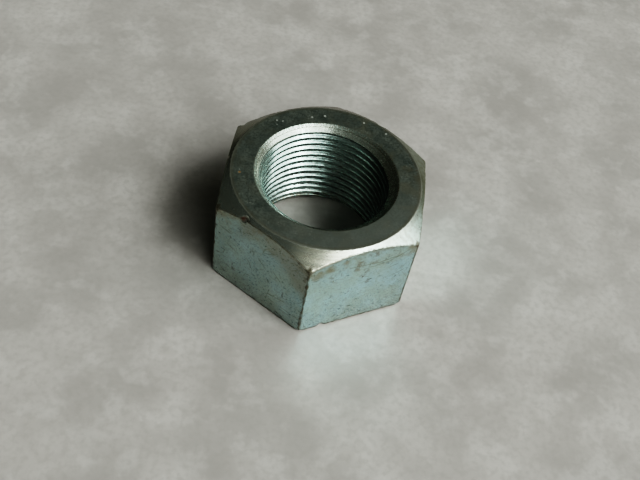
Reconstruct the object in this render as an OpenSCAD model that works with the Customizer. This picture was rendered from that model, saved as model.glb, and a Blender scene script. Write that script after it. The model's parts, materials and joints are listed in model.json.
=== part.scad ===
// Hex nut with a fine metric thread, modelled in millimetres.
// The origin is the centre of the bearing face at the bottom, and +Z runs up the thread axis.
// Two of the six flats face +X and -X, and two of the corners lie on the Y axis.

/* [Hexagon] */
// Width across the flats as made: a 36 mm spanner fits nuts from 35.4 to 36
across_flats = 35.6; // [34:0.1:46]
// Height from the bearing face to the top face
nut_height = 20; // [12:0.1:30]
// Radius of the six upright edges
edge_radius = 0.5; // [0.2:0.1:1.5]
// Diameter of the flat ring that the top chamfer leaves
land_d = 34.2; // [30:0.1:35]
// Angle between the top face and the top chamfer
chamfer_angle = 35; // [15:1:45]
// How far the bottom corners are cut back along the bearing face
corner_break = 0.6; // [0.3:0.1:1.5]

/* [Thread] */
// Nominal thread diameter, at the roots of the grooves
thread_d = 24; // [20:0.5:25]
// Pitch, which is the rise in one turn
pitch = 1.5; // [1:0.25:2]
// Thread depth as a share of the pitch: 0.54 is the basic form, less is a wider tapping drill
depth_ratio = 0.45; // [0.42:0.01:0.54]
// Direction in which the thread winds
thread_hand = "right"; // [right, left]
// Angle about the axis at which a groove crosses the plane of the bearing face
thread_start = 16; // [0:1:359]

/* [Countersinks] */
// Diameter of each countersink where it meets its face
countersink_d = 25.9; // [25.5:0.1:29]
// Angle between the two sides of a countersink
countersink_angle = 90; // [60:5:120]

/* [Finish] */
// Straight pieces in one turn of the thread
steps_per_turn = 48; // [24:4:64]
// Straight pieces around the rounding of one upright edge
edge_steps = 4; // [2:1:8]
// Sides used to draw the round surfaces
round_sides = 144; // [48:12:192]

/* [Hidden] */

// Distance from the axis to a sharp corner of the hexagon, before its edge is rounded.
sharp_corner_r = across_flats / 2 / cos(30);
edge_centre_r = sharp_corner_r - edge_radius / cos(30);
corner_r = edge_centre_r + edge_radius;
land_r = land_d / 2;
// The chamfer cone reaches an upright edge this far below the top face.
corner_drop = (corner_r - land_r) * tan(chamfer_angle);
// Round surfaces that cut a face run past it by this much.
overrun = 1;

root_r = thread_d / 2;
crest_r = root_r - depth_ratio * pitch;
flank_angle = 30;
root_half_width = pitch / 16;
// The groove cutter reaches inside the crests, but stays short of the next turn.
cutter_r = crest_r - 0.1 * pitch;
cutter_half_width = root_half_width + (root_r - cutter_r) * tan(flank_angle);
winding = thread_hand == "right" ? 1 : -1;
thread_turns = ceil(nut_height / pitch) + 2;
thread_rows = thread_turns * steps_per_turn;

// A point at radius r and angle a on the plan.
function polar(r, a) = [r * cos(a), r * sin(a)];

// The arc that rounds the upright edge at angle a, as edge_steps straight pieces.
function edge_arc(a) = [
    for (k = [0 : edge_steps])
        polar(edge_centre_r, a) + polar(edge_radius, a - 30 + 60 * k / edge_steps)
];

// One corner of the groove cutter's trapezium, on row i of the helix.
function groove_point(i, r, rise) =
    let (
        turn = i / steps_per_turn,
        plan = polar(r, thread_start + 360 * turn * winding)
    )
    [plan.x, plan.y, (turn - 1) * pitch + rise];

// The four corners of the trapezium on row i.
function groove_row(i) = [
    groove_point(i, cutter_r, -cutter_half_width),
    groove_point(i, root_r, -root_half_width),
    groove_point(i, root_r, root_half_width),
    groove_point(i, cutter_r, cutter_half_width)
];

// Two triangles for side j of the cutter, between rows i and i + 1.
function groove_side(i, j) =
    let (
        a = 4 * i + j,
        b = 4 * i + (j + 1) % 4,
        c = b + 4,
        d = a + 4
    )
    winding > 0 ? [[a, b, c], [a, c, d]] : [[c, b, a], [d, c, a]];

// A helical bar with a trapezium section, which cuts the thread groove.
module thread_groove() {
    last = 4 * thread_rows;
    start_cap = [0, 3, 2, 1];
    end_cap = [last, last + 1, last + 2, last + 3];
    points = [for (i = [0 : thread_rows]) each groove_row(i)];
    sides = [for (i = [0 : thread_rows - 1], j = [0 : 3]) each groove_side(i, j)];
    caps = winding > 0
        ? [start_cap, end_cap]
        : [[for (k = [3 : -1 : 0]) start_cap[k]], [for (k = [3 : -1 : 0]) end_cap[k]]];
    polyhedron(points, concat(sides, caps), convexity = 10);
}

// The hexagonal bar that the nut is cut from, with rounded upright edges.
module rounded_hexagon() {
    linear_extrude(nut_height)
        polygon([for (i = [0 : 5]) each edge_arc(30 + 60 * i)]);
}

// The turned outline that trims the corners: a cone at the top and a short bevel at the bottom.
module chamfer_envelope() {
    rotate_extrude($fn = round_sides)
        polygon([
            [0, 0],
            [corner_r - corner_break, 0],
            [corner_r + overrun, corner_break + overrun],
            [corner_r + overrun, nut_height - corner_drop - overrun * tan(chamfer_angle)],
            [land_r, nut_height],
            [0, nut_height]
        ]);
}

// One countersink, opening upwards from the crest diameter to its face.
module countersink() {
    mouth_r = countersink_d / 2;
    slope = tan(countersink_angle / 2);
    depth = (mouth_r - crest_r) / slope;
    rotate_extrude($fn = round_sides)
        polygon([
            [0, -depth],
            [crest_r, -depth],
            [mouth_r + overrun * slope, overrun],
            [0, overrun]
        ]);
}

module nut_body() {
    color([0.62, 0.68, 0.66])
        difference() {
            intersection() {
                rounded_hexagon();
                chamfer_envelope();
            }
            translate([0, 0, -overrun])
                cylinder(h = nut_height + 2 * overrun, r = crest_r, $fn = round_sides);
            translate([0, 0, nut_height]) countersink();
            mirror([0, 0, 1]) countersink();
            thread_groove();
        }
}

nut_body();
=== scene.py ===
"""Looks of a zinc-plated hex nut with a fine thread: its worn skin, the floor, the light and the camera.

The CAD frame is in metres: the origin is the centre of the bearing face, +Z runs up the thread axis,
flats face +X and -X, and two upright edges lie on the Y axis. Angles about the axis are in degrees.
"""

import json
import math

import bmesh
import bpy
import numpy as np
from mathutils import Matrix, Vector


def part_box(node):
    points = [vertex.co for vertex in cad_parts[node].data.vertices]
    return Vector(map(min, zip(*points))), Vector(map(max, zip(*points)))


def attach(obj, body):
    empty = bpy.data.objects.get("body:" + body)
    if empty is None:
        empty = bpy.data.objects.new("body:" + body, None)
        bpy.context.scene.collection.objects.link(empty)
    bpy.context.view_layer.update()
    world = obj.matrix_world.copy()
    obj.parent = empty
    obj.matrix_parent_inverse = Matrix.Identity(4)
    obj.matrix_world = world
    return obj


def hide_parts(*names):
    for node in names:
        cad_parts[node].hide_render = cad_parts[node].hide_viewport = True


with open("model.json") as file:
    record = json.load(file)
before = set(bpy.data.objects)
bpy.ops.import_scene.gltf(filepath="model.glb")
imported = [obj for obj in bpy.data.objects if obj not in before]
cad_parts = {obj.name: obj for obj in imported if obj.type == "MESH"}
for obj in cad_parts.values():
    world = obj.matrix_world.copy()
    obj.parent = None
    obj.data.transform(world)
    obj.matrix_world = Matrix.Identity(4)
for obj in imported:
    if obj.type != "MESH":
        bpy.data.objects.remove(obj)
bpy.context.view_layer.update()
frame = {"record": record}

# ---------------------------------------------------------------- sizes, in metres

MM = 0.001
NODE = "nut_body"
LOW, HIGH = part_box(NODE)
MOUNTS = {mount["name"]: mount for mount in frame["record"]["mounts"]}

ACROSS_FLATS = HIGH.x - LOW.x
HEIGHT = HIGH.z - LOW.z
CORNER_R = HIGH.y
CREST_R = MOUNTS["thread"]["dims"]["r_mm"] * MM
CREST_RUN = MOUNTS["thread"]["dims"]["length_mm"] * MM
ROOT_R = 12 * MM
PITCH = 1.5 * MM
THREAD_START = 16  # angle at which a groove crosses the plane of the bearing face

EDGE_RADIUS = 0.5 * MM
LAND_R = 17.1 * MM  # outside of the flat ring round the bore
CHAMFER_SLOPE = math.tan(math.radians(35))
CORNER_BREAK = 0.6 * MM
SINK_DEPTH = (HEIGHT - CREST_RUN) / 2
MOUTH_R = CREST_R + SINK_DEPTH

FIRST_EDGE = 30  # angle of the first upright edge
SECTOR = 60  # angle from one upright edge to the next
EDGE_CENTRE_R = CORNER_R - EDGE_RADIUS

# ---------------------------------------------------------------- seeded noise for the geometry

RNG = np.random.default_rng(24)


def ripple(angle, waves, count=14):
    """A smooth random curve round the axis, about -1 to 1, of sines with up to that many waves a turn."""
    total = np.zeros_like(angle)
    for _ in range(count):
        frequency = int(RNG.integers(max(1, waves // 3), waves + 1))
        total += np.sin(frequency * angle + RNG.uniform(0, math.tau))
    return total / math.sqrt(count)


# ---------------------------------------------------------------- outline of the nut

COLUMNS = 480  # mesh columns round the axis, a multiple of six
EDGE_CROWDING = 4.5  # extra density of the columns at an upright edge
CROWDED_ANGLE = 1.3  # how far from the edge that density falls off
CROWD_SAMPLES = 2001


def column_angles():
    """The angle of each mesh column in radians, with the columns crowded at the six upright edges."""
    offset = np.linspace(-SECTOR / 2, SECTOR / 2, CROWD_SAMPLES)
    density = 1 + EDGE_CROWDING * np.exp(-((offset / CROWDED_ANGLE) ** 2))
    grown = np.concatenate([[0], np.cumsum((density[1:] + density[:-1]) / 2)])
    even = np.linspace(0, grown[-1], COLUMNS // 6, endpoint=False)
    sector = np.interp(even, grown, offset)
    return np.radians(np.concatenate([FIRST_EDGE + SECTOR * k + sector for k in range(6)]))


def angle_from_edge(angle):
    """How far each angle is from its nearest upright edge, in radians, signed."""
    sector = math.radians(SECTOR)
    shifted = angle - math.radians(FIRST_EDGE)
    return shifted - sector * np.round(shifted / sector)


def hexagon_radius(angle):
    """Distance from the axis to the hexagon with rounded upright edges."""
    half_sector = math.radians(SECTOR / 2)
    offset = np.abs(angle_from_edge(angle))
    flat = ACROSS_FLATS / 2 / np.cos(half_sector - offset)
    reach = EDGE_RADIUS**2 - (EDGE_CENTRE_R * np.sin(offset)) ** 2
    arc = EDGE_CENTRE_R * np.cos(offset) + np.sqrt(np.maximum(reach, 0))
    arc_end = (EDGE_CENTRE_R + EDGE_RADIUS * math.cos(half_sector), EDGE_RADIUS * math.sin(half_sector))
    return np.where(offset < math.atan2(arc_end[1], arc_end[0]), arc, flat)


def bend(start, corner, end, steps):
    """Rows of (radius, height) that round a corner of the outline, from start to end."""
    rows = []
    for t in np.linspace(0, 1, steps):
        weights = ((1 - t) ** 2, 2 * t * (1 - t), t * t)
        rows.append(
            tuple(sum(w * p[axis] for w, p in zip(weights, (start, corner, end))) for axis in (0, 1))
        )
    return rows


def span(start, end, fractions):
    """Rows of (radius, height) between two rows of the outline, without its ends."""
    return [tuple(start[axis] + (end[axis] - start[axis]) * t for axis in (0, 1)) for t in fractions]


def crowded(count, pull):
    """Fractions from 0 to 1 without the ends, closer together at both ends by the share pull."""
    t = np.linspace(0, 1, count + 2)[1:-1]
    return (1 - pull) * t + pull * (0.5 - 0.5 * np.cos(np.pi * t))


# ---------------------------------------------------------------- outer rows of the mesh

FLAT, CHAMFER, TOP, SINK, THREAD, BEARING = range(6)  # material index of each region

# How far the wear rounds each edge.
SHOULDER_ROUND = 0.11 * MM
LAND_ROUND = 0.09 * MM
MOUTH_ROUND = 0.08 * MM
FOOT_ROUND = 0.16 * MM
FOOT_BULGE = 0.25  # how far inside the sharp corner the foot's curve aims, as a share of its cut


def shoulder_height(angle):
    """Height at which the flats end and the chamfer cone begins."""
    return HEIGHT - (hexagon_radius(angle) - LAND_R) * CHAMFER_SLOPE


def outer_rows(angle):
    """Rows from the bottom mouth round to the top mouth: radius, height, and region of the strip after."""
    level = np.zeros_like(angle)
    top = level + HEIGHT
    rim = hexagon_radius(angle)
    shoulder = shoulder_height(angle)
    # The number given to each ripple is the most waves that its wear has in one turn.
    foot_round = FOOT_ROUND * (1 + 0.3 * ripple(angle, 90))
    foot_cut = np.maximum(rim - (CORNER_R - CORNER_BREAK), foot_round)
    wear = SHOULDER_ROUND * np.clip(1 + 0.5 * ripple(angle, 150) + 0.3 * ripple(angle, 20), 0.3, 3)
    slope_length = wear / math.hypot(1, CHAMFER_SLOPE)
    land_wear = LAND_ROUND * np.clip(1 + 0.4 * ripple(angle, 120), 0.4, 2)

    mouth = level + MOUTH_R
    land = level + LAND_R
    mouth_wall = mouth - MOUTH_ROUND
    mouth_face = mouth + MOUTH_ROUND
    bottom_mouth = bend((mouth_wall, level + MOUTH_ROUND), (mouth, level), (mouth_face, level), 3)
    foot_corner = (rim - FOOT_BULGE * foot_cut, FOOT_BULGE * foot_cut)
    foot = bend((rim - foot_cut, level), foot_corner, (rim, foot_cut), 4)
    cone_start = (rim - slope_length, shoulder + slope_length * CHAMFER_SLOPE)
    upper = bend((rim, shoulder - wear), (rim, shoulder), cone_start, 4)
    cone_end = (land + land_wear, HEIGHT - land_wear * CHAMFER_SLOPE)
    land_edge = bend(cone_end, (land, top), (land - land_wear, top), 3)
    top_mouth = bend((mouth_face, top), (mouth, top), (mouth_wall, top - MOUTH_ROUND), 3)
    stretches = [
        (bottom_mouth, BEARING),
        (span(bottom_mouth[-1], foot[0], crowded(6, 0.6)), BEARING),
        (foot, FLAT),
        (span(foot[-1], upper[0], crowded(36, 0.55)), FLAT),
        (upper, CHAMFER),
        (span(upper[-1], land_edge[0], crowded(8, 0.3)), CHAMFER),
        (land_edge, TOP),
        (span(land_edge[-1], top_mouth[0], crowded(8, 0.5)), TOP),
        (top_mouth, SINK),
    ]
    return [(radius, height, region) for rows, region in stretches for radius, height in rows]


# ---------------------------------------------------------------- the threaded bore

CREST_BURR = 0.015 * MM  # roughness of the crests
FLANK_RIPPLE = 0.003 * MM  # roughness of the roots and flanks
# Mesh rows from a root to a crest: height above the groove's middle, distance inside ROOT_R, roughness.
GROOVE_SIDE = [
    (0.06 * MM, 0.010 * MM, FLANK_RIPPLE),
    (0.27 * MM, 0.305 * MM, FLANK_RIPPLE),
    (0.45 * MM, 0.608 * MM, CREST_BURR),
    (0.53 * MM, 0.670 * MM, CREST_BURR),
]
MID_CREST = (PITCH / 2, 0.678 * MM, CREST_BURR)
OTHER_SIDE = [(PITCH - rise, depth, roughness) for rise, depth, roughness in reversed(GROOVE_SIDE)]
THREAD_ROWS = [*GROOVE_SIDE, MID_CREST, *OTHER_SIDE]
SPARE_TURNS = 3  # turns past each end of the bore, which fold into its end rings
TURNS = math.ceil(HEIGHT / PITCH) + 2 * SPARE_TURNS
BURR_STEP = 0.035  # radians between the random values of a row's radius
LIFT_STEP = 0.05  # radians between the random values of a row's height
LIFT_SHARE = 0.4  # how much of its roughness moves a row up and down
SINK_BLEND = 0.04 * MM  # rounding where the thread runs out into a countersink


def smooth_max(a, b, blend):
    """The larger of two arrays, rounded over where they meet."""
    share = np.clip(0.5 + 0.5 * (a - b) / blend, 0, 1)
    return b * (1 - share) + a * share + blend * share * (1 - share)


def helix_noise(step):
    """A function of the angle turned along the helix, with a new random value from -1 to 1 every step."""
    marks = np.arange(0, math.tau * (TURNS + 1), step)
    values = RNG.uniform(-1, 1, len(marks))
    return lambda turned: np.interp(turned, marks, values)


def bore_rows(angle):
    """Rows of the bore: radius, height, cut by a countersink. After a turn each row is one pitch higher."""
    low, high = MOUTH_ROUND, HEIGHT - MOUTH_ROUND
    burrs = [helix_noise(BURR_STEP) for _ in THREAD_ROWS]
    lifts = [helix_noise(LIFT_STEP) for _ in THREAD_ROWS]
    rows = []
    for turn in range(TURNS):
        turned = angle + math.tau * turn
        climb = PITCH * (turned - math.radians(THREAD_START)) / math.tau - SPARE_TURNS * PITCH
        for (rise, depth, roughness), burr, lift in zip(THREAD_ROWS, burrs, lifts):
            height = np.clip(climb + rise + LIFT_SHARE * roughness * lift(turned), low, high)
            thread = ROOT_R - depth + roughness * burr(turned)
            sink = CREST_R + np.maximum(height - (HEIGHT - SINK_DEPTH), SINK_DEPTH - height)
            rows.append((smooth_max(thread, sink, SINK_BLEND), height, sink > thread))
    return rows


# ---------------------------------------------------------------- dents, chips and nicks

# (angle, height, radius, depth) of the marks that stand out, in degrees and millimetres.
NAMED_DENTS = [
    (-133.0, 19.5, 1.15, 0.55),
    (-131.4, 19.9, 0.6, 0.20),
    (-78.6, 0.3, 0.8, 0.35),
    (-77.4, 0.1, 0.5, 0.25),
    (-31.0, 18.0, 0.6, 0.12),
    (-150.4, 1.1, 0.9, 0.20),
    (61.0, 19.4, 0.9, 0.30),
    (147.5, 18.2, 0.8, 0.25),
    (5.0, 0.3, 0.8, 0.30),
    (118.0, 0.4, 0.7, 0.30),
]
SMALL_DENTS = 120
SMALL_DENT_RADIUS = (0.25, 0.7)
SMALL_DENT_DEPTH = (0.05, 0.2)  # as a share of the radius
UPRIGHT_SPREAD = 0.5  # degrees either side of an upright edge
UPRIGHT_HEIGHTS = (0.5, 17.5)
SIDEWAYS_HEIGHTS = (2, 17)  # dents between these heights are pressed in level
DENT_SLANT = 0.8  # how much the dents near the top and the foot slant


def scattered_dents():
    """Small random dents along the upright edges, the shoulders and the foot."""
    dents = []
    for _ in range(SMALL_DENTS):
        place = RNG.integers(3)
        size = RNG.uniform(*SMALL_DENT_RADIUS)
        depth = size * RNG.uniform(*SMALL_DENT_DEPTH)
        edge = FIRST_EDGE + SECTOR * RNG.integers(6)
        turned = RNG.uniform(0, 360)
        if place == 0:
            dents.append((edge + RNG.normal(0, UPRIGHT_SPREAD), RNG.uniform(*UPRIGHT_HEIGHTS), size, depth))
            continue
        shoulder = float(shoulder_height(np.radians([turned]))[0]) / MM
        dents.append((turned, shoulder if place == 1 else 0.0, size, depth))
    return dents


def press_dents(points):
    """Pushes points towards the axis and the middle of the height inside each dent."""
    middle = HEIGHT / MM / 2
    for angle, height, radius, depth in NAMED_DENTS + scattered_dents():
        turn = math.radians(angle)
        rim = float(hexagon_radius(np.array([turn]))[0])
        centre = np.array([rim * math.cos(turn), rim * math.sin(turn), height * MM])
        inward = np.array([-math.cos(turn), -math.sin(turn), math.copysign(DENT_SLANT, middle - height)])
        if SIDEWAYS_HEIGHTS[0] < height < SIDEWAYS_HEIGHTS[1]:
            inward[2] = 0
        inward /= np.linalg.norm(inward)
        gap = np.linalg.norm(points - centre, axis=1) / (radius * MM)
        points += np.outer(np.clip(1 - gap**2, 0, 1) ** 2 * depth * MM, inward)
    return points


# ---------------------------------------------------------------- the mesh

MERGE_GAP = 1e-6  # points closer than this become one
FLAT_SPACING = 50  # offset in mm between the gauges of two flats, so that each has its own pattern


def row_points(angle, rows):
    """The points of each row, column by column."""
    ring = np.stack([np.cos(angle), np.sin(angle)], axis=1)
    return [np.column_stack([ring * radius[:, None], height]) for radius, height, _ in rows]


def nut_mesh():
    """Vertices, quads and the region of each quad."""
    angle = column_angles()
    column = np.arange(COLUMNS)
    quads, regions = [], []

    outer = outer_rows(angle)
    for row, (_, _, region) in enumerate(outer[:-1]):
        here = column + row * COLUMNS
        beside = np.roll(here, -1)
        quads.append(np.stack([here, beside, beside + COLUMNS, here + COLUMNS], axis=1))
        regions.append(np.full(COLUMNS, region))

    # Each row of the bore runs on into the row that is one pitch higher.
    first = len(outer) * COLUMNS
    bore = bore_rows(angle)
    pitch_rows = len(THREAD_ROWS)
    for row in range(len(bore) - 1 - pitch_rows):
        here = first + row * COLUMNS + column
        beside = np.append(here[1:], here[0] + pitch_rows * COLUMNS)
        quads.append(np.stack([here, here + COLUMNS, beside + COLUMNS, beside], axis=1))
        regions.append(np.where(bore[row][2] & bore[row + 1][2], SINK, THREAD))

    points = press_dents(np.concatenate(row_points(angle, outer) + row_points(angle, bore)))
    return points, np.concatenate(quads), np.concatenate(regions)


def add_gauge(mesh, name, values):
    """A number on each vertex, which the materials read."""
    layer = mesh.attributes.new(name, "FLOAT", "POINT")
    layer.data.foreach_set("value", values.astype(np.float32))


def measure_gauges(mesh, points):
    """Distances in mm that place the wear: along the flats, to an upright edge and to the shoulder."""
    angle = np.arctan2(points[:, 1], points[:, 0])
    radius = np.hypot(points[:, 0], points[:, 1])
    flat = np.round(np.degrees(angle) / SECTOR)
    across = radius * np.sin(angle - np.radians(flat * SECTOR))
    add_gauge(mesh, "along", across / MM + FLAT_SPACING * flat)
    add_gauge(mesh, "upright_gap", np.abs(np.sin(angle_from_edge(angle))) * radius / MM)
    add_gauge(mesh, "shoulder_gap", np.abs(shoulder_height(angle) - points[:, 2]) / MM)


def close_mesh(mesh):
    """Merges the points that lie together, drops unused points and turns every face outwards."""
    shape = bmesh.new()
    shape.from_mesh(mesh)
    bmesh.ops.remove_doubles(shape, verts=shape.verts, dist=MERGE_GAP)
    loose = [vert for vert in shape.verts if not vert.link_faces]
    bmesh.ops.delete(shape, geom=loose, context="VERTS")
    bmesh.ops.recalc_face_normals(shape, faces=shape.faces)
    open_edges = sum(1 for edge in shape.edges if not edge.is_manifold)
    print(f"nut mesh: {len(shape.faces)} faces, {open_edges} edges not closed")
    shape.to_mesh(mesh)
    shape.free()


def build_nut(materials):
    """The whole nut as one closed mesh."""
    points, quads, regions = nut_mesh()
    mesh = bpy.data.meshes.new("hex_nut")
    mesh.from_pydata(points.tolist(), [], quads.tolist())
    for material in materials:
        mesh.materials.append(material)
    mesh.polygons.foreach_set("material_index", regions.astype(np.int32))
    measure_gauges(mesh, points)
    close_mesh(mesh)
    mesh.polygons.foreach_set("use_smooth", np.ones(len(mesh.polygons), bool))

    nut = bpy.data.objects.new("hex_nut", mesh)
    bpy.context.scene.collection.objects.link(nut)
    return nut


# ---------------------------------------------------------------- building materials from nodes

MIX_A, MIX_B, MIX_RESULT = 6, 7, 2  # the colour sockets of a Mix node
STREAK_R = 12  # radius in mm at which a turned streak has its stated length


def rgb(red, green, blue):
    """A linear colour for a colour socket."""
    return (red, green, blue, 1.0)


class Nodes:
    """A node tree being built. Each method adds nodes and returns an output."""

    def __init__(self, tree):
        self.nodes = tree.nodes
        self.links = tree.links

    def add(self, kind, inputs, output=0, **settings):
        """Adds a node of that kind, with links or values on its inputs."""
        made = self.nodes.new(kind)
        for name, value in settings.items():
            setattr(made, name, value)
        for key, value in inputs.items():
            if isinstance(value, bpy.types.NodeSocket):
                self.links.new(value, made.inputs[key])
            else:
                made.inputs[key].default_value = value
        return made.outputs[output]

    def vector(self, operation, a, b=(0, 0, 0), scale=1.0, output="Vector"):
        inputs = {0: a, "Scale": scale} if operation == "SCALE" else {0: a, 1: b}
        return self.add("ShaderNodeVectorMath", inputs, output, operation=operation)

    def split(self, vector, axis):
        return self.add("ShaderNodeSeparateXYZ", {0: vector}, axis)

    def math(self, operation, *values):
        """Joins several values by one operation, from left to right."""
        joined = values[0]
        for value in values[1:]:
            joined = self.add("ShaderNodeMath", {0: joined, 1: value}, operation=operation)
        return joined

    def plus(self, *values):
        return self.math("ADD", *values)

    def minus(self, a, b):
        return self.math("SUBTRACT", a, b)

    def times(self, *values):
        return self.math("MULTIPLY", *values)

    def most(self, *values):
        return self.math("MAXIMUM", *values)

    def fade(self, value, start, end, first=0.0, last=1.0, style="SMOOTHSTEP"):
        """Goes from first to last, smoothly unless told otherwise, while the value goes from start to end."""
        inputs = {"Value": value, "From Min": start, "From Max": end, "To Min": first, "To Max": last}
        return self.add("ShaderNodeMapRange", inputs, interpolation_type=style)

    def mix(self, share, a, b):
        """The colour a, turned into b by that share."""
        return self.add("ShaderNodeMix", {0: share, MIX_A: a, MIX_B: b}, MIX_RESULT, data_type="RGBA")


class Skin(Nodes):
    """A material being built, with what places its marks on the nut. Lengths are in millimetres."""

    def __init__(self, name):
        self.material = bpy.data.materials.new(name)
        self.material.use_nodes = True
        super().__init__(self.material.node_tree)
        self.nodes.clear()
        metres = self.add("ShaderNodeTexCoord", {}, "Object")
        self.place = self.vector("SCALE", metres, scale=1 / MM)
        self.x, self.y, self.z = (self.split(self.place, axis) for axis in "XYZ")
        flat_place = self.vector("MULTIPLY", self.place, (1, 1, 0))
        self.radius = self.vector("LENGTH", flat_place, output="Value")
        self.heading = self.vector("NORMALIZE", flat_place)

    def gauge(self, name):
        return self.add("ShaderNodeAttribute", {}, "Fac", attribute_name=name)

    def shrunk(self, place, size, stretch):
        """A place measured in features of that size, which the stretch makes longer along an axis."""
        return self.vector("MULTIPLY", place, [1 / (size * length) for length in stretch])

    def pattern(self, place, detail, output=0):
        """Noise at a place that is measured in features."""
        return self.add("ShaderNodeTexNoise", {"Vector": place, "Scale": 1.0, "Detail": detail}, output)

    def noise(self, size, detail=2.0, stretch=(1, 1, 1), shift=0.0):
        """Noise with features of about that size; the shift picks another part of the same noise."""
        place = self.shrunk(self.place, size, stretch)
        return self.pattern(self.vector("ADD", place, (shift, 1.7 * shift, 0.6 * shift)), detail)

    def noise_vector(self, size):
        """Noise with three independent numbers."""
        return self.pattern(self.vector("SCALE", self.place, scale=1 / size), 1.0, "Color")

    def turned(self, size, length, shift=0.0):
        """Streaks round the axis as a lathe leaves them, that far apart and about that long."""
        round_axis = self.vector("SCALE", self.heading, scale=STREAK_R / length)
        outward = self.add("ShaderNodeCombineXYZ", {"Z": self.times(self.radius, 1 / size)})
        streaks = self.vector("ADD", self.vector("ADD", round_axis, outward), (shift, shift, shift))
        return self.pattern(streaks, 2.0)

    def specks(self, spacing, radius, share, stretch=(1, 1, 1)):
        """Separate dark specks of up to that radius, in that share of the cells of a random pattern."""
        ragged = self.vector("SCALE", self.noise_vector(0.3), scale=0.35)
        cells = self.shrunk(self.vector("ADD", self.place, ragged), spacing, stretch)
        inputs = {"Vector": cells, "Scale": 1.0}
        gap = self.add("ShaderNodeTexVoronoi", inputs, "Distance")
        chance = self.split(self.add("ShaderNodeTexVoronoi", inputs, "Color"), "X")
        reach = self.fade(chance, 1 - share, 1.0, last=radius / spacing)
        return self.fade(self.minus(gap, reach), 0.04, -0.06)

    def dashes(self, tilt, length, width, shift=0.0):
        """Thin, slightly bowed scratches on the flats, at about that tilt in degrees from level."""
        along, turn = self.gauge("along"), math.radians(tilt)
        run, climb = math.cos(turn), math.sin(turn)
        bow = self.times(self.noise(8.0, 1.0, shift=shift), 6.0 / width)
        forward = self.plus(self.times(along, run / length), self.times(self.z, climb / length))
        aside = self.plus(self.times(along, -climb / width), self.times(self.z, run / width), bow)
        place = self.add("ShaderNodeCombineXYZ", {"X": forward, "Y": aside, "Z": shift})
        return self.fade(self.pattern(place, 0.0), 0.74, 0.80)

    def spot(self, centre, radius, ragged=0.5):
        """A ragged spot: 1 in the middle, 0 outside the radius."""
        gap = self.vector("DISTANCE", self.place, centre, output="Value")
        gap = self.plus(gap, self.times(self.noise(radius * 0.6), ragged * radius))
        return self.fade(gap, radius * (1 + 0.5 * ragged), radius * 0.6)

    def scratch(self, start, end, width):
        """A thin, wandering line from start to end, 1 along its middle."""
        start, end = Vector(start), Vector(end)
        along = end - start
        wander = self.vector("SCALE", self.noise_vector(3.0), scale=0.5)
        mean_wander = Vector((0.25, 0.25, 0.25))
        offset = self.vector("ADD", self.place, wander)
        offset = self.vector("SUBTRACT", offset, tuple(start + mean_wander))
        share = self.vector("DOT_PRODUCT", offset, tuple(along / along.length_squared), output="Value")
        share = self.math("MINIMUM", self.most(share, 0.0), 1.0)
        foot = self.vector("SCALE", tuple(along), scale=share)
        gap = self.vector("LENGTH", self.vector("SUBTRACT", offset, foot), output="Value")
        return self.fade(gap, width, width * 0.3)

    def bump(self, relief, depth):
        """A relief of that depth in metres."""
        return self.add("ShaderNodeBump", {"Strength": 1.0, "Distance": depth, "Height": relief})

    def finish(self, colour, roughness, relief, depth, dullness, metallic):
        """Ends the material: a metal, less metallic where dull, with a relief of that depth."""
        surface = {
            "Base Color": colour,
            "Metallic": self.times(self.minus(1.0, dullness), metallic),
            "Roughness": roughness,
            "Normal": self.bump(relief, depth * MM),
        }
        return self.end_with(surface)

    def end_with(self, surface):
        """Ends the material with a shader that has those inputs."""
        shader = self.add("ShaderNodeBsdfPrincipled", surface)
        out = self.nodes.new("ShaderNodeOutputMaterial")
        self.links.new(shader, out.inputs["Surface"])
        return self.material


# ---------------------------------------------------------------- colours

# Cream painted as a highlight at the front of the cone.
CONE_HIGHLIGHT_CREAM = rgb(0.88, 0.87, 0.73)
CONE_PALE = rgb(0.58, 0.67, 0.61)
CONE_GREY = rgb(0.42, 0.45, 0.40)
# Dull grey painted as shade on the cone towards -X.
CONE_SHADE_DULL = rgb(0.335, 0.36, 0.32)
SINK_PALE = rgb(0.58, 0.61, 0.54)
SINK_GREEN = rgb(0.33, 0.39, 0.35)
BORE_PALE = rgb(0.56, 0.65, 0.60)
BORE_CYAN = rgb(0.36, 0.49, 0.46)
TOP_WORN = rgb(0.50, 0.53, 0.49)
TOP_PALE = rgb(0.44, 0.475, 0.43)
TOP_DARK = rgb(0.28, 0.325, 0.30)
TOP_DEEP = rgb(0.22, 0.245, 0.215)
TOP_TAN = rgb(0.42, 0.39, 0.29)
FLAT_BLUE = rgb(0.40, 0.57, 0.60)
FLAT_GREEN = rgb(0.39, 0.51, 0.48)
# Dull grey-green painted as shade on the flats towards -X.
FLAT_SHADE_DULL = rgb(0.345, 0.385, 0.345)
FLAT_GREY = rgb(0.28, 0.31, 0.265)
FLAT_TAN = rgb(0.285, 0.275, 0.205)
FLAT_WEDGE = rgb(0.305, 0.315, 0.270)
# Brown of worn edges. At the foot of the flats it also serves as painted contact shadow.
EDGE_BROWN_AND_SHADE = rgb(0.075, 0.06, 0.035)
TAN = rgb(0.40, 0.35, 0.25)
OLIVE = rgb(0.16, 0.15, 0.09)
# Painted shade for the bore's +X wall.
BORE_SHADE = rgb(0.060, 0.070, 0.055)
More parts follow.
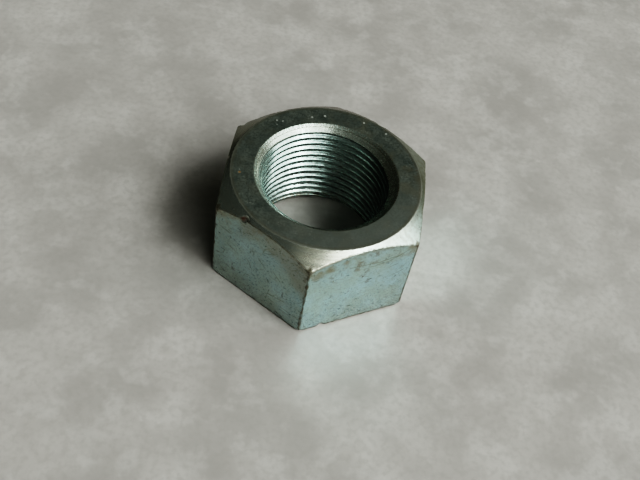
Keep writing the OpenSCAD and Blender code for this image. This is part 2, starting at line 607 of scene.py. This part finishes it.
# Dark dirt for the specks, and dirt with painted shade in the thread roots.
DIRT_AND_SHADE = rgb(0.030, 0.026, 0.018)
BROWN = rgb(0.13, 0.085, 0.045)
RUST = rgb(0.20, 0.105, 0.03)
RUST_DARK = rgb(0.060, 0.020, 0.010)
PALE = rgb(0.75, 0.76, 0.70)
FLOOR_GREY = rgb(0.455, 0.422, 0.398)
FLOOR_PALE = rgb(0.575, 0.535, 0.506)
FLOOR_WISP = rgb(0.700, 0.660, 0.630)
FLOOR_SMUDGE = rgb(0.380, 0.345, 0.325)
FLOOR_GRAIN = rgb(0.410, 0.375, 0.350)

# ---------------------------------------------------------------- marks placed one by one, in mm

# (start, end, width) of the scratches on the two front flats.
SCRATCHES = [
    ((6.6, -16.7, 15.9), (11.56, -13.88, 15.56), 0.16),
    ((11.56, -13.88, 15.56), (14.8, -12.01, 16.12), 0.20),
    ((9.0, -15.3, 14.6), (13.6, -12.7, 15.2), 0.12),
    ((12.9, -13.1, 14.9), (16.2, -11.2, 17.0), 0.14),
    ((12.2, -13.5, 12.6), (14.9, -12.0, 13.8), 0.13),
    ((13.5, -12.7, 10.2), (16.4, -11.1, 11.5), 0.12),
    ((-6.2, -16.9, 9.5), (-9.1, -15.3, 12.3), 0.12),
    ((-10.4, -14.5, 6.0), (-12.6, -13.3, 5.2), 0.12),
    ((-3.4, -18.6, 5.6), (-7.0, -16.5, 4.4), 0.12),
]
# (centre, radius) of the spots.
BROWN_RUNS = [
    ((8.3, -15.8, 16.4), 1.3),
    ((7.9, -16.0, 15.0), 1.0),
    ((9.39, -15.13, 13.9), 1.1),
    ((9.2, -15.3, 12.6), 0.8),
    ((4.1, -18.2, 14.6), 1.0),
    ((4.4, -18.0, 13.2), 0.8),
    ((10.6, -14.4, 15.9), 0.8),
    ((17.44, -10.49, 18.07), 0.5),
    ((3.4, -18.6, 0.9), 0.4),
]
CORNER_STAINS = [
    ((1.3, -19.4, 16.2), 1.9),
    ((3.2, -18.3, 17.0), 1.5),
    ((5.6, -16.9, 17.9), 1.0),
    ((-9.2, -15.0, 19.0), 0.9),
]
# Pale marks on the top ring, painted as glints of small dents.
PALE_MARKS = [
    ((-4.55, 13.84, 20.0), 0.28),
    ((-2.19, 14.77, 20.0), 0.35),
    ((-10.78, 11.30, 20.0), 0.25),
    ((-9.66, 11.34, 20.0), 0.22),
    ((5.24, 14.86, 20.0), 0.28),
    ((9.59, 13.01, 20.0), 0.30),
]
RUST_SPECK = ((-15.1, -3.3, 20.0), 0.42)
RUST_TIP = ((17.8, -10.3, 17.9), 0.9)
RUST_NICK = ((-12.5, -13.1, 19.2), 0.8)

# ---------------------------------------------------------------- the skin of the flats


def flat_zinc(skin, fine):
    """Cloudy blue-green zinc, duller towards the foot, and duller towards -X, where the flats face away from
    the light, as painted shade.
    """
    cloud = skin.noise(4.5, 5.0)
    low = skin.fade(skin.plus(skin.z, skin.times(skin.noise(3.5, 3.0, shift=7.0), 9.0)), 13.0, 5.0)
    colour = skin.mix(skin.fade(cloud, 0.32, 0.66), FLAT_GREEN, FLAT_BLUE)
    # Painted shade: the flats towards -X are dulled, as they face away from the light.
    colour = skin.mix(skin.fade(skin.x, 6.0, -12.0, last=0.35), colour, FLAT_SHADE_DULL)
    colour = skin.mix(skin.times(low, skin.fade(skin.x, 2.0, -4.0, last=0.55)), colour, FLAT_SHADE_DULL)
    dark_foot = skin.times(low, skin.fade(skin.x, -2.0, 13.0, first=0.03, last=0.42))
    colour = skin.mix(dark_foot, colour, FLAT_GREY)
    return skin.mix(skin.fade(fine, 0.45, 0.70, last=0.40), colour, FLAT_GREY)


def tan_stains(skin, ragged):
    """Share of the tan stains at the top of the upright edges and in patches under the shoulder."""
    upright, shoulder = skin.gauge("upright_gap"), skin.gauge("shoulder_gap")
    reach = skin.plus(skin.times(upright, 0.6), shoulder, skin.times(skin.noise(2.5, 4.0), 7.0))
    corner = skin.times(skin.fade(reach, 6.6, 4.6), 0.8)
    spots = [skin.spot(*mark, 0.6) for mark in CORNER_STAINS]
    strip = skin.fade(skin.plus(shoulder, ragged), 1.5, 0.7)
    strip = skin.times(strip, skin.fade(skin.noise(3.0), 0.4, 0.6), 0.7)
    return skin.times(skin.most(corner, *spots, strip), skin.fade(ragged, 0.3, 0.6, first=0.55, last=0.95))


def wedge_stain(skin):
    """Share of the wide grey stain on the front left flat, beside the front edge."""
    upright, shoulder = skin.gauge("upright_gap"), skin.gauge("shoulder_gap")
    wander = skin.times(skin.noise(2.0, 4.0, shift=14.0), 3.0)
    depth = skin.plus(skin.times(upright, 0.75), shoulder, wander)
    here = skin.times(skin.fade(skin.x, 0.2, -0.4), skin.fade(skin.y, -12.5, -14.0))
    return skin.times(skin.fade(depth, 12.0, 8.0), here, 0.7)


def smears(skin):
    """Share of the faint tan smears just under the shoulder."""
    high = skin.fade(skin.gauge("shoulder_gap"), 5.5, 2.5, last=0.4)
    return skin.times(skin.fade(skin.noise(1.5, 5.0, shift=23.0), 0.50, 0.64), high)


def brown_stains(skin):
    """Share of the brown blots, and of the runs that the photo shows."""
    blots = skin.fade(skin.noise(1.1, 4.0, stretch=(1, 1, 1.8), shift=4.0), 0.60, 0.68)
    blots = skin.times(blots, skin.fade(skin.noise(5.0, 1.0, shift=2.0), 0.48, 0.6), 0.45)
    broken = skin.fade(skin.noise(0.5, 4.0, stretch=(1, 1, 2.2), shift=15.0), 0.40, 0.56)
    runs = skin.times(skin.most(*(skin.spot(*mark, 1.0) for mark in BROWN_RUNS)), broken, 0.65)
    return skin.most(blots, runs)


def scratches(skin):
    """Share of the scratches: some placed one by one, and fainter ones in three directions."""
    placed = [skin.scratch(*line) for line in SCRATCHES]
    rising = skin.dashes(24, 4.5, 0.45)
    falling = skin.dashes(-38, 4.0, 0.45, 5.0)
    steep = skin.dashes(66, 3.5, 0.40, 9.0)
    return skin.most(*placed, skin.times(skin.most(rising, falling, steep), 0.6))


def pits(skin):
    """Share of the dark specks, closest together near the foot and on the +X side."""
    towards_foot = skin.fade(skin.z, 1.0, 11.0, first=0.055, last=0.0)
    crowd = skin.times(skin.fade(skin.x, -6.0, 13.0, first=0.6), towards_foot)
    crowd = skin.plus(crowd, skin.times(skin.noise(3.5, 3.0, shift=9.0), 0.14))
    crowd = skin.minus(crowd, skin.fade(skin.y, -8.0, 4.0, last=0.025))
    grains = skin.fade(skin.plus(skin.noise(0.22, 3.0, shift=11.0), crowd), 0.685, 0.745)
    flecks = skin.noise(0.7, 3.0, stretch=(1.8, 1.8, 0.55), shift=17.0)
    flecks = skin.fade(skin.plus(flecks, crowd), 0.745, 0.79)
    return skin.most(skin.times(grains, 0.65), flecks, skin.specks(0.9, 0.16, 0.4, (1, 1, 0.7)))


def worn_edges_and_foot_shade(skin, ragged):
    """Share of the dark wear along the upright edges, the shoulder and the top corners, and of the dark line
    at the foot, which is worn edge and painted contact shadow.
    """
    upright, shoulder = skin.gauge("upright_gap"), skin.gauge("shoulder_gap")
    line = skin.plus(upright, skin.times(ragged, 0.9), skin.fade(skin.x, 10.0, 16.0, last=-0.10))
    line = skin.fade(line, 0.80, 0.52)
    brow = skin.fade(skin.plus(shoulder, skin.times(ragged, 0.5)), 0.44, 0.28, last=0.8)
    # Painted contact shadow and a dark worn edge along the foot.
    foot = skin.fade(skin.plus(skin.z, skin.times(ragged, 0.6)), 0.95, 0.55)
    tip = skin.fade(skin.plus(upright, shoulder, ragged), 2.0, 1.1)
    return skin.most(line, brow, foot, tip)


def flat_skin():
    """The six spanner flats: blue-white zinc with specks, stains, scratches, worn brown edges and painted
    contact shadow at the foot.
    """
    skin = Skin("zinc_flats")
    fine = skin.noise(0.45, 4.0)
    ragged = skin.noise(0.9, 4.0, shift=6.0)
    stains = brown_stains(skin)
    lines = scratches(skin)
    specks = pits(skin)
    edges = worn_edges_and_foot_shade(skin, ragged)
    patchy = skin.fade(skin.noise(1.6, 3.0, shift=27.0), 0.35, 0.6, first=0.7, last=0.95)
    rust = skin.most(skin.spot(*RUST_NICK), skin.times(skin.spot(*RUST_TIP), 0.8))

    colour = flat_zinc(skin, fine)
    colour = skin.mix(tan_stains(skin, ragged), colour, FLAT_TAN)
    colour = skin.mix(wedge_stain(skin), colour, FLAT_WEDGE)
    colour = skin.mix(smears(skin), colour, FLAT_TAN)
    colour = skin.mix(stains, colour, BROWN)
    colour = skin.mix(skin.times(lines, 0.68), colour, OLIVE)
    colour = skin.mix(skin.times(specks, 0.8), colour, DIRT_AND_SHADE)
    # Worn brown edges, with painted contact shadow along the foot.
    colour = skin.mix(skin.times(edges, patchy), colour, EDGE_BROWN_AND_SHADE)
    colour = skin.mix(rust, colour, RUST_DARK)

    roughness = skin.plus(skin.fade(fine, 0.3, 0.7, first=0.13, last=0.22), skin.times(edges, 0.2))
    brushed = skin.noise(0.14, 1.0, stretch=(1, 1, 40))
    relief = skin.plus(skin.noise(0.22, 3.0), skin.times(brushed, 0.5))
    relief = skin.minus(relief, skin.most(specks, skin.times(lines, 0.7)))
    dullness = skin.most(skin.times(edges, 0.6), skin.times(specks, 0.8), skin.times(stains, 0.5), rust)
    return skin.finish(colour, roughness, relief, depth=0.004, dullness=dullness, metallic=0.90)


# ---------------------------------------------------------------- the skin of the other regions


def cone_metal_with_painted_light(skin, streaks, broad, mottled):
    """The cone's bright metal, streaked and pale towards +X, with a painted cream highlight at the front and
    painted shade that dulls it towards -X, away from the light.
    """
    # Painted highlight: bright cream at the front of the cone, where the light is reflected most.
    colour = skin.mix(skin.fade(skin.x, 3.0, 9.0), CONE_HIGHLIGHT_CREAM, CONE_PALE)
    # Painted shade: duller towards -X, which faces away from the light.
    colour = skin.mix(skin.fade(skin.x, 0.0, -5.0), colour, CONE_SHADE_DULL)
    colour = skin.mix(skin.fade(broad, 0.35, 0.65, first=0.3, last=0), colour, CONE_GREY)
    colour = skin.mix(skin.fade(streaks, 0.45, 0.75, last=0.3), colour, TAN)
    return skin.mix(mottled, colour, CONE_GREY)


def cone_grime(skin, colour):
    """Grime over the cone, thicker towards the back and in a patch on the +X side."""
    grime = skin.plus(skin.y, skin.times(skin.noise(4.0, 2.0, shift=2.0), 8.0))
    colour = skin.mix(skin.fade(grime, -3.0, 6.0, last=0.62), colour, OLIVE)
    colour = skin.mix(skin.fade(skin.y, 11.0, 16.0, last=0.75), colour, EDGE_BROWN_AND_SHADE)
    patch = skin.times(skin.fade(skin.y, -6.0, -2.0), skin.fade(skin.y, 8.0, 4.0, last=0.35))
    return skin.mix(skin.times(skin.fade(skin.x, 15.5, 17.0), patch), colour, OLIVE)


def chamfer_skin():
    """The turned cone above the flats: bright, with soft streaks round the axis and brown corners."""
    skin = Skin("zinc_chamfer")
    upright, shoulder = skin.gauge("upright_gap"), skin.gauge("shoulder_gap")
    streaks = skin.turned(0.30, 14.0)
    broad = skin.turned(0.8, 20.0, 3.0)
    mottle = skin.noise(0.8, 4.0)
    rough_side = skin.fade(skin.x, 3.0, 10.0, first=0.02)
    ragged = skin.times(skin.noise(0.6, 3.0), 0.6)
    rim = skin.fade(skin.plus(shoulder, ragged), 0.50, 0.30)
    tip = skin.fade(skin.plus(upright, shoulder, ragged), 1.05, 0.65)
    edges = skin.most(skin.times(rim, 0.7), skin.times(tip, 0.9))
    specks = skin.times(skin.specks(0.8, 0.16, 0.4), skin.fade(skin.x, -4.0, 6.0, first=0.4))
    rust = skin.spot(*RUST_NICK)

    colour = cone_metal_with_painted_light(skin, streaks, broad, skin.times(skin.fade(mottle, 0.42, 0.62), rough_side, 0.8))
    colour = skin.mix(edges, colour, EDGE_BROWN_AND_SHADE)
    colour = cone_grime(skin, colour)
    colour = skin.mix(skin.times(specks, 0.6), colour, DIRT_AND_SHADE)
    colour = skin.mix(rust, colour, RUST_DARK)

    smooth = skin.fade(broad, 0.3, 0.7, first=0.20, last=0.26)
    roughness = skin.plus(smooth, skin.times(mottle, rough_side, 0.15))
    relief = skin.plus(streaks, skin.times(skin.noise(0.45, 4.0), rough_side, 1.8))
    dullness = skin.most(skin.times(specks, 0.7), skin.times(edges, 0.6), rust)
    return skin.finish(colour, roughness, relief, depth=0.007, dullness=dullness, metallic=0.78)


def handling_marks_and_glints(skin):
    """Share of the pale marks on the top ring: nicks, dots, scuffs and the ones that the photo shows, painted
    pale as glints where small dents catch the light.
    """
    crowd = skin.times(skin.noise(3.0, 2.0, shift=3.0), 0.25)
    nicks = skin.fade(skin.plus(skin.noise(0.30, 3.0, shift=8.0), crowd), 0.80, 0.86)
    dots = skin.times(skin.specks(1.0, 0.13, 0.15), 0.35)
    scuffs = skin.fade(skin.noise(0.35, 3.0, stretch=(1, 4, 1), shift=21.0), 0.68, 0.76, last=0.2)
    placed = [skin.spot(*mark) for mark in PALE_MARKS]
    return skin.most(skin.times(nicks, 0.7), dots, scuffs, *placed)


def top_skin():
    """The faced ring round the bore: dark grey-green, mottled, with handling marks painted pale as glints
    from small dents, and one rust speck.
    """
    skin = Skin("zinc_top")
    land = LAND_R / MM
    streaks = skin.turned(0.20, 12.0)
    cloud = skin.noise(1.6, 5.0)
    grain = skin.noise(0.42, 5.0, shift=2.0)
    tint = skin.fade(skin.noise(3.5, 4.0, shift=12.0), 0.46, 0.66, last=0.55)
    worn = skin.fade(skin.minus(skin.times(skin.x, 0.6), skin.y), 2.0, 19.0, last=0.7)
    marks = handling_marks_and_glints(skin)
    rust = skin.spot(*RUST_SPECK)
    outer = skin.fade(skin.plus(skin.radius, skin.times(grain, 0.8)), land - 0.4, land + 0.2)
    burnish = skin.fade(skin.plus(skin.radius, skin.times(grain, 0.3)), land - 0.07, land)

    colour = skin.mix(skin.fade(cloud, 0.25, 0.75), TOP_DARK, TOP_PALE)
    colour = skin.mix(skin.fade(grain, 0.42, 0.64, last=0.65), colour, TOP_DEEP)
    colour = skin.mix(skin.times(tint, skin.fade(skin.x, -8.0, 6.0, first=0.3)), colour, TOP_TAN)
    colour = skin.mix(skin.fade(streaks, 0.5, 0.8, last=0.3), colour, OLIVE)
    colour = skin.mix(worn, colour, TOP_WORN)
    # Pale nicks and scuffs, with painted glints where small dents catch the light.
    colour = skin.mix(skin.times(marks, 0.8), colour, PALE)
    colour = skin.mix(skin.times(rust, 0.85), colour, RUST)
    colour = skin.mix(skin.times(outer, 0.35), colour, TAN)
    colour = skin.mix(skin.times(burnish, 0.35), colour, PALE)

    roughness = skin.plus(skin.fade(cloud, 0.3, 0.7, first=0.30, last=0.36), skin.times(marks, 0.2))
    relief = skin.plus(streaks, skin.times(skin.noise(0.2, 3.0), 0.7), marks)
    dullness = skin.most(skin.times(rust, 0.9), skin.times(marks, 0.3))
    return skin.finish(colour, roughness, relief, depth=0.008, dullness=dullness, metallic=0.84)


SINK_RING_R = 12.46  # radius of the dark ring where the smooth inner band meets the rough outer one


def sink_skin():
    """The countersinks: bright and grainy, with chatter from the tool."""
    skin = Skin("zinc_countersink")
    grain = skin.noise(0.30, 4.0)
    streaks = skin.turned(0.22, 16.0)
    inner = skin.fade(skin.radius, SINK_RING_R + 0.04, SINK_RING_R - 0.04)
    ring = skin.times(
        skin.fade(skin.radius, SINK_RING_R - 0.07, SINK_RING_R - 0.03),
        skin.fade(skin.radius, SINK_RING_R + 0.07, SINK_RING_R + 0.03),
    )
    side = skin.minus(skin.times(skin.y, 0.6), skin.x)
    grime = skin.fade(skin.plus(side, skin.times(skin.noise(1.5, 3.0), 6.0)), 6.0, -6.0, last=0.6)
    specks = skin.fade(skin.noise(0.24, 3.0, shift=4.0), 0.56, 0.63)
    specks = skin.times(specks, skin.fade(inner, 0, 1, first=1.0, last=0.3))
    glints = skin.fade(skin.noise(0.30, 3.0, shift=19.0), 0.60, 0.68)

    colour = skin.mix(skin.fade(grain, 0.40, 0.62), SINK_PALE, SINK_GREEN)
    colour = skin.mix(skin.times(inner, 0.7), colour, SINK_PALE)
    colour = skin.mix(skin.fade(streaks, 0.48, 0.62, last=0.4), colour, SINK_GREEN)
    colour = skin.mix(skin.times(ring, 0.5), colour, OLIVE)
    colour = skin.mix(grime, colour, OLIVE)
    colour = skin.mix(skin.times(specks, 0.7), colour, BROWN)
    colour = skin.mix(skin.times(glints, 0.8), colour, PALE)

    roughness = skin.minus(skin.fade(grain, 0.3, 0.7, first=0.24, last=0.40), skin.times(inner, 0.05))
    relief = skin.plus(skin.times(grain, skin.fade(inner, 0, 1, first=1.6, last=0.3)), streaks)
    dullness = skin.times(specks, 0.4)
    return skin.finish(colour, roughness, relief, depth=0.024, dullness=dullness, metallic=0.82)


def thread_skin():
    """The thread: bright flanks and crests, with dirt and painted shade in the roots, and painted shade
    darkening the +X side.
    """
    skin = Skin("zinc_thread")
    root_r = ROOT_R / MM
    beads = skin.times(skin.noise(0.4, 3.0), skin.fade(skin.z, 15.0, 7.0, first=0.22, last=0.42))
    root = skin.fade(skin.plus(skin.radius, beads), root_r - 0.10, root_r + 0.03)
    mottle = skin.noise(0.35, 3.0)
    low = skin.fade(skin.z, 3.6, 1.6, last=0.8)
    burrs = skin.times(skin.fade(skin.noise(0.5, 4.0, shift=13.0), 0.42, 0.6), low)
    specks = skin.fade(skin.noise(0.2, 2.0, shift=7.0), 0.60, 0.70)
    # Painted shade on the +X wall of the bore, which faces away from the light.
    bore_shade = skin.fade(skin.plus(skin.x, skin.times(skin.noise(2.5), 4.0)), 7.0, 12.5, last=0.85)

    colour = skin.mix(skin.fade(mottle, 0.35, 0.65), BORE_PALE, BORE_CYAN)
    colour = skin.mix(burrs, colour, TAN)
    # Dirt and painted shade in the thread roots, where the groove lies in shadow.
    colour = skin.mix(skin.times(root, 0.92), colour, DIRT_AND_SHADE)
    colour = skin.mix(skin.times(specks, 0.5), colour, OLIVE)
    colour = skin.mix(bore_shade, colour, BORE_SHADE)

    roughness = skin.plus(skin.fade(mottle, 0.3, 0.7, first=0.16, last=0.27), skin.times(root, 0.4))
    relief = skin.plus(skin.times(skin.turned(0.08, 4.0), 0.5), mottle)
    dullness = skin.times(root, 0.8)
    return skin.finish(colour, roughness, relief, depth=0.008, dullness=dullness, metallic=0.88)


def bearing_skin():
    """The face the nut stands on: turned, scuffed and a little dirty."""
    skin = Skin("zinc_bearing_face")
    cloud = skin.noise(4.0, 4.0)
    scuffs = skin.fade(skin.noise(0.9, 4.0, stretch=(4, 1, 1), shift=3.0), 0.58, 0.68)
    colour = skin.mix(skin.fade(cloud, 0.35, 0.65), SINK_GREEN, CONE_PALE)
    colour = skin.mix(skin.times(scuffs, 0.5), colour, OLIVE)
    roughness = skin.fade(cloud, 0.3, 0.7, first=0.34, last=0.5)
    relief = skin.plus(skin.turned(0.22, 14.0), skin.times(skin.noise(0.25, 3.0), 0.6))
    dullness = skin.times(scuffs, 0.3)
    return skin.finish(colour, roughness, relief, depth=0.012, dullness=dullness, metallic=0.9)


# ---------------------------------------------------------------- the floor

FLOOR_HALF = 3.0  # half of the floor's width
FLOOR_CELLS = 24
FLOOR_BUMP = 0.02 * MM


def floor_skin():
    """Pale warm grey stone with a low sheen, faintly cloudy."""
    skin = Skin("pale_stone")
    cloud = skin.noise(16.0, 6.0)
    wisps = skin.noise(4.5, 7.0, shift=31.0)
    smudge = skin.noise(9.0, 5.0, shift=17.0)
    grain = skin.noise(1.2, 4.0, shift=5.0)
    colour = skin.mix(skin.fade(cloud, 0.35, 0.65), FLOOR_GREY, FLOOR_PALE)
    colour = skin.mix(skin.fade(wisps, 0.48, 0.66, last=0.36), colour, FLOOR_WISP)
    colour = skin.mix(skin.fade(smudge, 0.48, 0.66, last=0.28), colour, FLOOR_SMUDGE)
    colour = skin.mix(skin.fade(grain, 0.40, 0.70, last=0.40), colour, FLOOR_GRAIN)
    surface = {
        "Base Color": colour,
        "Roughness": skin.fade(grain, 0.3, 0.7, first=0.32, last=0.42),
        "Specular IOR Level": 0.5,
        "Normal": skin.bump(grain, FLOOR_BUMP),
    }
    return skin.end_with(surface)


def build_floor():
    """A flat floor as a grid of quads, level with the bearing face."""
    step = 2 * FLOOR_HALF / FLOOR_CELLS
    ticks = [-FLOOR_HALF + step * k for k in range(FLOOR_CELLS + 1)]
    points = [(x, y, 0.0) for y in ticks for x in ticks]
    width = FLOOR_CELLS + 1
    starts = [row * width + k for row in range(FLOOR_CELLS) for k in range(FLOOR_CELLS)]
    quads = [(start, start + 1, start + width + 1, start + width) for start in starts]
    mesh = bpy.data.meshes.new("floor")
    mesh.from_pydata(points, [], quads)
    mesh.materials.append(floor_skin())
    floor = bpy.data.objects.new("floor", mesh)
    bpy.context.scene.collection.objects.link(floor)
    return floor


# ---------------------------------------------------------------- the light

LIGHT_FROM = Vector((0.703, -0.350, 0.629))  # direction of the window from the nut
LIGHT_ALONG = Vector((0.454, 0.891, 0.0))  # direction of each light's width, as seen from above
LIGHT_DISTANCE = 2.7
LIGHT_SIZE = (4.12, 2.34)
LIGHT_RADIANCE = 2.52
LIGHT_COLOUR = (0.94, 1.0, 0.98)
# Two small, brighter panels in front of the window: azimuth, elevation, width and radiance.
PANELS = [(-20, 55, 0.51, 14.0), (-36, 43, 0.45, 9.0)]

ROOM_DARK = rgb(0.030, 0.033, 0.026)
ROOM_BRIGHT = rgb(0.09, 0.09, 0.075)
ROOM_BRIGHT_SIDE = (0.80, 0.55, 0.20)
ROOM_FADE_START = -0.4  # cosine of the angle from the bright side where the room stops getting darker
ROOM_FADE_POWER = 4.0  # how steeply it gets brighter from there


def area_light(name, direction, size, radiance):
    """A rectangular light that faces the nut from that direction."""
    lamp = bpy.data.lights.new(name, "AREA")
    lamp.shape = "RECTANGLE"
    lamp.size, lamp.size_y = size
    lamp.energy = radiance * math.pi * size[0] * size[1]
    lamp.color = LIGHT_COLOUR
    back = direction.normalized()
    right = (LIGHT_ALONG - back * LIGHT_ALONG.dot(back)).normalized()
    turn = Matrix((right, back.cross(right), back)).transposed().to_4x4()
    light = bpy.data.objects.new(name, lamp)
    light.matrix_world = Matrix.Translation(back * LIGHT_DISTANCE) @ turn
    bpy.context.scene.collection.objects.link(light)


def dim_room():
    """Weak light from all round, which grows towards one side."""
    world = bpy.data.worlds.new("room")
    world.use_nodes = True
    room = Nodes(world.node_tree)
    facing = room.add("ShaderNodeTexCoord", {}, "Generated")
    side = room.vector("DOT_PRODUCT", facing, ROOM_BRIGHT_SIDE, output="Value")
    share = room.math("POWER", room.fade(side, ROOM_FADE_START, 1.0, style="LINEAR"), ROOM_FADE_POWER)
    colour = room.mix(share, ROOM_DARK, ROOM_BRIGHT)
    room.links.new(colour, room.nodes["Background"].inputs["Color"])
    return world


def light_scene():
    """The wide window, the two small panels and the dim room."""
    area_light("window", LIGHT_FROM, LIGHT_SIZE, LIGHT_RADIANCE)
    for azimuth, elevation, width, radiance in PANELS:
        around, up = math.radians(azimuth), math.radians(elevation)
        source = Vector((math.cos(around) * math.cos(up), math.sin(around) * math.cos(up), math.sin(up)))
        area_light("panel", source, (width, width), radiance)
    bpy.context.scene.world = dim_room()


# ---------------------------------------------------------------- the camera

# The photo's camera, fitted to the nut's edges.
CAMERA_AZIMUTH = math.radians(-1.979)
CAMERA_ELEVATION = math.radians(50.202)
CAMERA_ROLL = math.radians(11.976)
CAMERA_LENS = 50.43
CAMERA_SENSOR = 36
NEAR_CLIP = 0.005
# Where the camera stands from the origin: to its own right, up and back.
CAMERA_SHIFT = Vector((0.03982, 0.02483, 4.88725)) * ACROSS_FLATS


def place_camera():
    """The scene's camera, which looks down at the nut's front edge, a little rolled."""
    back = Vector((
        math.sin(CAMERA_AZIMUTH) * math.cos(CAMERA_ELEVATION),
        -math.cos(CAMERA_AZIMUTH) * math.cos(CAMERA_ELEVATION),
        math.sin(CAMERA_ELEVATION),
    ))
    level_right = (-back).cross(Vector((0, 0, 1))).normalized()
    level_up = level_right.cross(-back)
    right = math.cos(CAMERA_ROLL) * level_right + math.sin(CAMERA_ROLL) * level_up
    up = math.cos(CAMERA_ROLL) * level_up - math.sin(CAMERA_ROLL) * level_right
    axes = Matrix((right, up, back)).transposed()
    data = bpy.data.cameras.new("camera")
    data.lens = CAMERA_LENS
    data.sensor_width = CAMERA_SENSOR
    data.clip_start = NEAR_CLIP
    camera = bpy.data.objects.new("camera", data)
    camera.matrix_world = Matrix.Translation(axes @ CAMERA_SHIFT) @ axes.to_4x4()
    bpy.context.scene.collection.objects.link(camera)
    bpy.context.scene.camera = camera


# ---------------------------------------------------------------- the scene

nut = build_nut([flat_skin(), chamfer_skin(), top_skin(), sink_skin(), thread_skin(), bearing_skin()])
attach(nut, "root")
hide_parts(NODE)
build_floor()
light_scene()
place_camera()
bpy.context.scene.view_settings.view_transform = "Filmic"
bpy.context.scene.view_settings.look = "Very High Contrast"
bpy.context.scene.cycles.blur_glossy = 0.0  # keeps the light that a flat throws on the floor sharp
